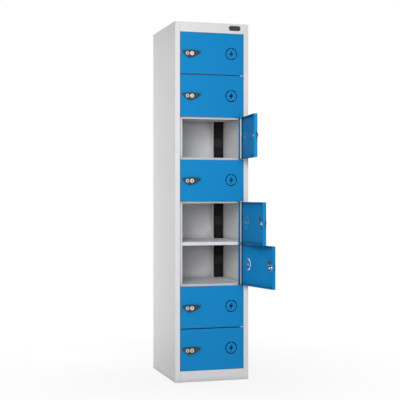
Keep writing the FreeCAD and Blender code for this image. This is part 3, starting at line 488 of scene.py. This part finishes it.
def stack(shape, rings):
    """Join rings of as many points each, one after the other, and close both ends."""
    rows = [[shape.verts.new(point) for point in ring] for ring in rings]
    for row, next_row in zip(rows, rows[1:]):
        for index in range(len(row)):
            following = (index + 1) % len(row)
            shape.faces.new((row[index], next_row[index], next_row[following], row[following]))
    shape.faces.new(rows[0])
    shape.faces.new(list(reversed(rows[-1])))


def prism(shape, outline, near_y, far_y):
    """Add a closed prism with an outline of (x, z) points between two planes."""
    stack(shape, [[(x, y, z) for x, z in outline] for y in (near_y, far_y)])


def arc(centre, radius, start, end, steps):
    """Points along an arc, in degrees."""
    turns = [math.radians(start + (end - start) * step / steps) for step in range(steps + 1)]
    return [(centre[0] + radius * math.cos(turn), centre[1] + radius * math.sin(turn)) for turn in turns]


def turned(shape, centre, profile):
    """Turn a profile of (radius, height) points about an axis that points to the front."""
    x, y, z = centre
    rings = []
    for radius, height in profile:
        circle = arc((x, z), radius, 0, 360, TURNED_STEPS)[:-1]
        rings.append([(across, y - height, along) for across, along in circle])
    stack(shape, rings)


def rounded_rectangle(centre, width, height, radius):
    """Outline of a rectangle with rounded corners."""
    points = []
    for start, side, level in ((0, 1, 1), (90, -1, 1), (180, -1, -1), (270, 1, -1)):
        corner = (centre[0] + side * (width / 2 - radius), centre[1] + level * (height / 2 - radius))
        points += arc(corner, radius, start, start + 90, CORNER_STEPS)
    return points


def smooth_by_angle():
    """A node group that drops stored normals and keeps edges above an angle sharp."""
    group = bpy.data.node_groups.new("smooth_by_angle", "GeometryNodeTree")
    group.interface.new_socket("Geometry", in_out="INPUT", socket_type="NodeSocketGeometry")
    group.interface.new_socket("Geometry", in_out="OUTPUT", socket_type="NodeSocketGeometry")
    start = group.nodes.new("NodeGroupInput")
    end = group.nodes.new("NodeGroupOutput")
    drop = group.nodes.new("GeometryNodeRemoveAttribute")
    drop.inputs["Name"].default_value = "custom_normal"
    angle = group.nodes.new("GeometryNodeInputMeshEdgeAngle")
    flat = group.nodes.new("FunctionNodeCompare")
    flat.operation = "LESS_THAN"
    flat.inputs[1].default_value = math.radians(SMOOTH_ANGLE)
    faces = group.nodes.new("GeometryNodeSetShadeSmooth")
    edges = group.nodes.new("GeometryNodeSetShadeSmooth")
    edges.domain = "EDGE"
    links = group.links
    links.new(start.outputs[0], drop.inputs["Geometry"])
    links.new(drop.outputs["Geometry"], faces.inputs["Geometry"])
    links.new(faces.outputs["Geometry"], edges.inputs["Geometry"])
    links.new(angle.outputs["Unsigned Angle"], flat.inputs[0])
    links.new(flat.outputs["Result"], edges.inputs["Shade Smooth"])
    links.new(edges.outputs["Geometry"], end.inputs[0])
    return group


def shade(item):
    """Shade a piece smooth, apart from its sharp edges."""
    item.modifiers.new("smooth", "NODES").node_group = smoothing


def cut(item, cutter, body):
    """Cut a hidden cutter out of a piece, and shade the result smooth."""
    cutter.hide_render = True
    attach(cutter, body)
    hole = item.modifiers.new("cut", "BOOLEAN")
    hole.operation = "DIFFERENCE"
    hole.solver = "EXACT"
    hole.object = cutter
    shade(item)


def add_number_cap(number):
    """A rimmed metal cap on the number disc of a door."""
    shape = bmesh.new()
    profile = [(radius * MM, height * MM) for radius, height in CAP_PROFILE]
    turned(shape, (disc_x, disc_front, lock_height(number)), profile)
    shape.transform(rest_turn(number))
    shade(add_piece(f"door_{number}_number_cap", shape, disc_metal, f"door_{number}"))


def add_figure(number):
    """The number of a door, raised a little from its cap."""
    name = f"door_{number}_figure"
    text = bpy.data.curves.new(name, "FONT")
    text.body = str(number)
    text.size = FIGURE_SIZE
    text.extrude = FIGURE_RELIEF
    text.offset = FIGURE_BOLDNESS
    letters = bpy.data.objects.new(f"{name}_text", text)
    outline = bpy.data.meshes.new_from_object(letters)
    shape = bmesh.new()
    shape.from_mesh(outline)
    bpy.data.objects.remove(letters)
    bpy.data.curves.remove(text)
    bpy.data.meshes.remove(outline)
    xs = [vertex.co.x for vertex in shape.verts]
    ys = [vertex.co.y for vertex in shape.verts]
    middle = Vector(((min(xs) + max(xs)) / 2, (min(ys) + max(ys)) / 2, 0))
    upright = Matrix.Rotation(math.radians(90), 4, "X")
    face = Matrix.Translation((disc_x, disc_front - CAP_FACE, lock_height(number)))
    shape.transform(rest_turn(number) @ face @ upright @ Matrix.Translation(-middle))
    bmesh.ops.remove_doubles(shape, verts=shape.verts, dist=FIGURE_WELD)
    add_piece(name, shape, figure_ink, f"door_{number}")


def add_screw(name, radius, place, body):
    """A domed screw head with a cross recess, drawn at the origin facing the front and then placed."""
    shape = bmesh.new()
    turned(shape, (0, 0, 0), [(share * radius, height * radius) for share, height in SCREW_PROFILE])
    shape.transform(place)
    head = add_piece(name, shape, zinc_steel, body)
    arm, half, depth = (share * radius for share in SCREW_RECESS)
    cross = [(half, half), (half, arm), (-half, arm), (-half, half), (-arm, half), (-arm, -half),
             (-half, -half), (-half, -arm), (half, -arm), (half, -half), (arm, -half), (arm, half)]
    recess = bmesh.new()
    prism(recess, cross, -depth, -radius)
    recess.transform(place)
    cut(head, add_mesh(f"{name}_cutter", recess, zinc_steel), body)


def add_cam_screw(number):
    """The face of the screw that holds a cam, on the plain head of the CAD."""
    inward = Matrix.Rotation(math.radians(180), 4, "Z")
    head = Matrix.Translation((lock_x, door_front + CAM_SCREW_DEPTH, lock_height(number)))
    place = rest_turn(number) @ head @ inward
    add_screw(f"door_{number}_cam_screw_face", CAM_SCREW_RADIUS, place, f"lock_{number}")


def add_inlet_screws():
    """The two screws through the roof that hold the mains inlet."""
    low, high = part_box("mains_inlet")
    upward = Matrix.Rotation(math.radians(-90), 4, "X")
    for name, x in (("left", low.x + INLET_SCREW_INSET), ("right", high.x - INLET_SCREW_INSET)):
        place = Matrix.Translation((x, (low.y + high.y) / 2, roof)) @ upward
        add_screw(f"inlet_screw_{name}", INLET_SCREW_RADIUS, place, "carcass")


def add_badge():
    """A blank badge with a raised rim on the header."""
    rings = []
    for inset, height in BADGE_PROFILE:
        edge = inset * MM
        outline = rounded_rectangle((BADGE_X, roof - BADGE_BELOW_ROOF), BADGE_WIDTH - 2 * edge,
                                    BADGE_HEIGHT - 2 * edge, BADGE_CORNER - edge)
        rings.append([(x, header_front - height * MM, z) for x, z in outline])
    shape = bmesh.new()
    stack(shape, rings)
    shade(add_piece("header_badge", shape, escutcheon_plastic, "carcass"))


smoothing = smooth_by_angle()
for number in DOORS:
    add_number_cap(number)
    add_figure(number)
    add_cam_screw(number)
add_inlet_screws()
add_badge()


# Stage, light and camera

WHITE = (1.0, 1.0, 1.0)
WORLD_LIGHT = 0.02

# The floor keeps its shadow near the locker, and is seen as plain white further out.
FLOOR_SIZE = 14
FLOOR_DROP = 0.5 * MM
FLOOR_TONES = ((0.80, 0.80, 0.80), (0.84, 0.84, 0.84))
FLOOR_CLOUD_SIZE = 0.8
FLOOR_WHITE_SHARES = (0.84, 1)
FLOOR_WHITE_RADII = (0.25, 1.3)

# Soft panels: place, the point that they face, width, height, and power in watts.
LAMPS = {
    "left": (Vector((-1.9, -3.6, 1.7)), Vector((0, 0, 0.9)), 1.0, 1.6, 46),
    "front": (Vector((-1.2, -4.0, 1.5)), Vector((0, 0, 0.9)), 1.2, 1.2, 38),
    "upper": (Vector((-0.9, -2.0, 1.9)), Vector((0, 0, 1.0)), 1.0, 1.0, 13),
    "rear_left": (Vector((-0.6, 0.95, 0.95)), Vector((-0.2, 0, 0.9)), 0.3, 2.0, 9.1),
    "rear_right": (Vector((3.0, 0.7, 1.8)), Vector((0, 0.1, 0.9)), 2.0, 2.0, 46),
    "overhead": (Vector((0, 0.1, 3.3)), Vector((0, 0.1, 0)), 0.5, 0.5, 11),
}

# Camera: width and focal length of the photograph in pixels, sensor in millimetres, angles in degrees.
PHOTO_WIDTH = 400
FOCAL_PIXELS = 1001.7
SENSOR_WIDTH = 36
CAMERA_PLACE = (-1.475, -4.979, 0.926)
CAMERA_YAW = 16.54
CAMERA_PITCH = -0.297


def add_floor():
    """A pale floor that catches the shadow and fades to white."""
    finish = Finish("floor", Roughness=0.9, Specular_IOR_Level=0.1)
    finish.colour(finish.blend(finish.noise(FLOOR_CLOUD_SIZE), *FLOOR_TONES))
    distance = finish.node("ShaderNodeVectorMath", operation="LENGTH")
    finish.feed(distance.inputs[0], finish.place)
    share = finish.spread(distance.outputs["Value"], *FLOOR_WHITE_SHARES, *FLOOR_WHITE_RADII)
    seen = finish.node("ShaderNodeLightPath")
    plain = finish.calculate("MAXIMUM", seen.outputs["Is Camera Ray"], seen.outputs["Is Glossy Ray"])
    plain = finish.calculate("MAXIMUM", plain, seen.outputs["Is Transmission Ray"])
    white = finish.node("ShaderNodeEmission")
    mix = finish.node("ShaderNodeMixShader")
    finish.feed(mix.inputs[0], finish.calculate("MULTIPLY", plain, share))
    finish.feed(mix.inputs[1], finish.shader.outputs["BSDF"])
    finish.feed(mix.inputs[2], white.outputs["Emission"])
    finish.feed(finish.tree.nodes["Material Output"].inputs["Surface"], mix.outputs["Shader"])
    shape = bmesh.new()
    bmesh.ops.create_grid(shape, x_segments=1, y_segments=1, size=FLOOR_SIZE / 2)
    floor = add_mesh("floor", shape, finish.material)
    floor.location.z = -FLOOR_DROP


def add_world():
    """A world that is seen as white, and adds only a little light."""
    world = bpy.data.worlds.new("studio")
    bpy.context.scene.world = world
    world.use_nodes = True
    tree = world.node_tree
    background = tree.nodes["Background"]
    background.inputs["Color"].default_value = (*WHITE, 1)
    seen = tree.nodes.new("ShaderNodeLightPath")
    largest = seen.outputs["Is Camera Ray"]
    for ray in ("Is Glossy Ray", "Is Transmission Ray"):
        larger = tree.nodes.new("ShaderNodeMath")
        larger.operation = "MAXIMUM"
        tree.links.new(largest, larger.inputs[0])
        tree.links.new(seen.outputs[ray], larger.inputs[1])
        largest = larger.outputs["Value"]
    strength = tree.nodes.new("ShaderNodeMapRange")
    tree.links.new(largest, strength.inputs["Value"])
    strength.inputs["To Min"].default_value = WORLD_LIGHT
    strength.inputs["To Max"].default_value = 1
    tree.links.new(strength.outputs["Result"], background.inputs["Strength"])


def add_panel_light(name, place, target, width, height, power):
    """A soft panel that faces a point and is not seen itself."""
    light = bpy.data.lights.new(name, "AREA")
    light.shape = "RECTANGLE"
    light.size = width
    light.size_y = height
    light.energy = power
    item = bpy.data.objects.new(name, light)
    item.location = place
    item.rotation_euler = (target - place).to_track_quat("-Z", "Y").to_euler()
    item.visible_camera = False
    bpy.context.scene.collection.objects.link(item)


def add_camera():
    """The camera at the photograph's viewing angle."""
    camera = bpy.data.cameras.new("camera")
    camera.sensor_width = SENSOR_WIDTH
    camera.lens = FOCAL_PIXELS / PHOTO_WIDTH * SENSOR_WIDTH
    item = bpy.data.objects.new("camera", camera)
    item.location = CAMERA_PLACE
    item.rotation_euler = (math.radians(90 + CAMERA_PITCH), 0, math.radians(-CAMERA_YAW))
    bpy.context.scene.collection.objects.link(item)
    bpy.context.scene.camera = item


add_floor()
add_world()
for name, settings in LAMPS.items():
    add_panel_light(name, *settings)
add_camera()
bpy.context.scene.view_settings.view_transform = "Standard"
